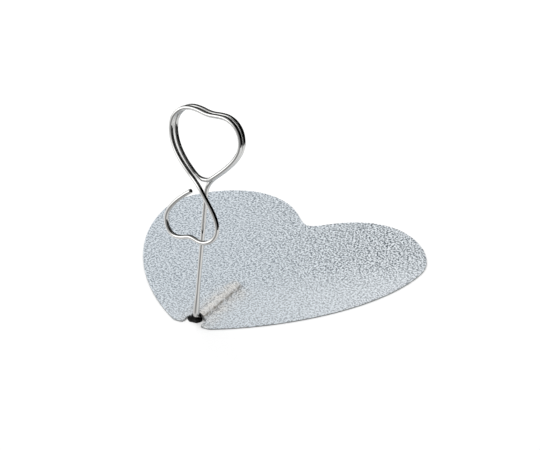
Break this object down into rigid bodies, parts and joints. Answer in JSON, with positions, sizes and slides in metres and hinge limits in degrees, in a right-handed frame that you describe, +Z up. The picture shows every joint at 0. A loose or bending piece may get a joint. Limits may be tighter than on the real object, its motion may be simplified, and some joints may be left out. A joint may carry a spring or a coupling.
{
  "type": "place card holder",
  "caption": "Place card holder with a flat heart-shaped base of grained sheet metal and an upright bent-wire clip whose heart-shaped coil grips a card.",
  "frame": {"origin": "middle of the heart-shaped plate's extents, on its underside, where it rests on the table", "axes": "+X to the right across the lobes, +Y from the cut-off tip with the wire to the dip between the lobes, +Z up"},
  "size_m": [0.064, 0.059, 0.047],
  "materials": {
    "base_plate": "silver-plated, embossed leather grain, satin",
    "wire_clip": "bright polished",
    "solder_seam": "dull solder"
  },
  "bodies": {
    "root": {"base_plate": "base_plate", "wire_clip": "wire_clip", "solder_seam": "solder_seam"}
  },
  "joints": []
}
